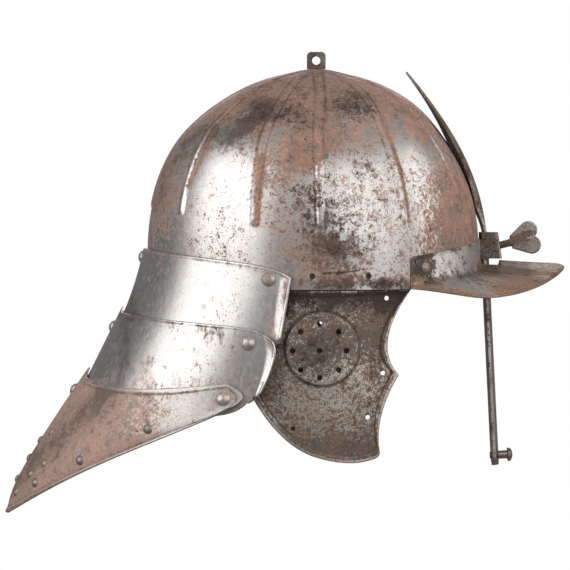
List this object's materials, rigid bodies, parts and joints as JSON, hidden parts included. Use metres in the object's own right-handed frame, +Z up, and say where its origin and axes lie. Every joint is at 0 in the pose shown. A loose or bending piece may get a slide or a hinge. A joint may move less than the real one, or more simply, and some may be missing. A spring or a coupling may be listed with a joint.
{
  "type": "lobster-tail helmet",
  "caption": "Ribbed steel cavalry helmet with a pointed peak, sliding nasal, laminated neck guard and hinged cheekpieces.",
  "frame": {"origin": "the middle of the wearer's head space on the middle plane, level with the rim over the ears and under the crown loop", "axes": "+X towards the face, +Y towards the wearer's left, +Z up through the crown"},
  "size_m": [0.3814, 0.2144, 0.3128],
  "materials": {
    "bowl_steel": "worn, with rust patina",
    "lame_steel": "worn bright",
    "tail_steel": "worn, with rust patina",
    "cheek_steel": "pitted, with dark patina",
    "dark_iron": "dark patina",
    "rivet_steel": "worn",
    "leather": "old and dry"
  },
  "bodies": {
    "bowl": {"skull": "bowl_steel", "crown_loop": "dark_iron", "peak": "bowl_steel", "peak_rivets": "bowl_steel", "nasal_bracket": "dark_iron", "bracket_rivets": "dark_iron", "lining_rivets": "rivet_steel", "lame_1_pivots": "rivet_steel", "cheek_strap_right": "leather", "cheek_strap_left": "leather", "strap_rivets": "rivet_steel"},
    "sliding_nasal": {"nasal": "dark_iron", "nasal_knob": "dark_iron"},
    "clamp_screw": {"wing_screw": "dark_iron"},
    "upper_lame": {"lame_1": "lame_steel", "lame_1_slide_rivet": "rivet_steel", "lame_1_washer": "rivet_steel", "lame_2_pivots": "rivet_steel"},
    "middle_lame": {"lame_2": "lame_steel", "lame_2_slide_rivet": "rivet_steel", "lame_2_washer": "rivet_steel", "lame_3_pivots": "rivet_steel"},
    "tail_lame": {"lame_3": "tail_steel", "lame_3_slide_rivet": "rivet_steel", "lame_3_washer": "rivet_steel", "border_rivets": "tail_steel", "keel_rivets": "tail_steel"},
    "right_cheek": {"cheekpiece_right": "cheek_steel", "cheek_rivets_right": "cheek_steel"},
    "left_cheek": {"cheekpiece_left": "cheek_steel", "cheek_rivets_left": "cheek_steel"}
  },
  "joints": [
    {"name": "lame_1_pivot", "type": "hinge", "parent": "bowl", "child": "upper_lame", "pos_m": [-0.037, 0, 0.009], "axis": [0, 1, 0], "range_deg": [0, 3]},
    {"name": "lame_2_pivot", "type": "hinge", "parent": "upper_lame", "child": "middle_lame", "pos_m": [-0.0505, 0, -0.0325], "axis": [0, 1, 0], "range_deg": [0, 4]},
    {"name": "lame_3_pivot", "type": "hinge", "parent": "middle_lame", "child": "tail_lame", "pos_m": [-0.0671, 0, -0.0684], "axis": [0, 1, 0], "range_deg": [0, 4]},
    {"name": "right_cheek_hanger", "type": "hinge", "parent": "bowl", "child": "right_cheek", "pos_m": [0.0095, -0.09367, 0.0014], "axis": [1, 0, 0], "range_deg": [-3, 20], "deforming": ["cheek_strap_right"]},
    {"name": "left_cheek_hanger", "type": "hinge", "parent": "bowl", "child": "left_cheek", "pos_m": [0.0095, 0.09367, 0.0014], "axis": [-1, 0, 0], "range_deg": [-3, 20], "deforming": ["cheek_strap_left"]},
    {"name": "nasal_slide", "type": "slide", "parent": "bowl", "child": "sliding_nasal", "axis": [-0.0499, 0, 0.9988], "range_m": [0, 0.108]},
    {"name": "wing_screw_turn", "type": "hinge", "parent": "bowl", "child": "clamp_screw", "pos_m": [0.12356, 0, 0.03022], "axis": [0.9681, 0, 0.2504], "continuous": true}
  ]
}
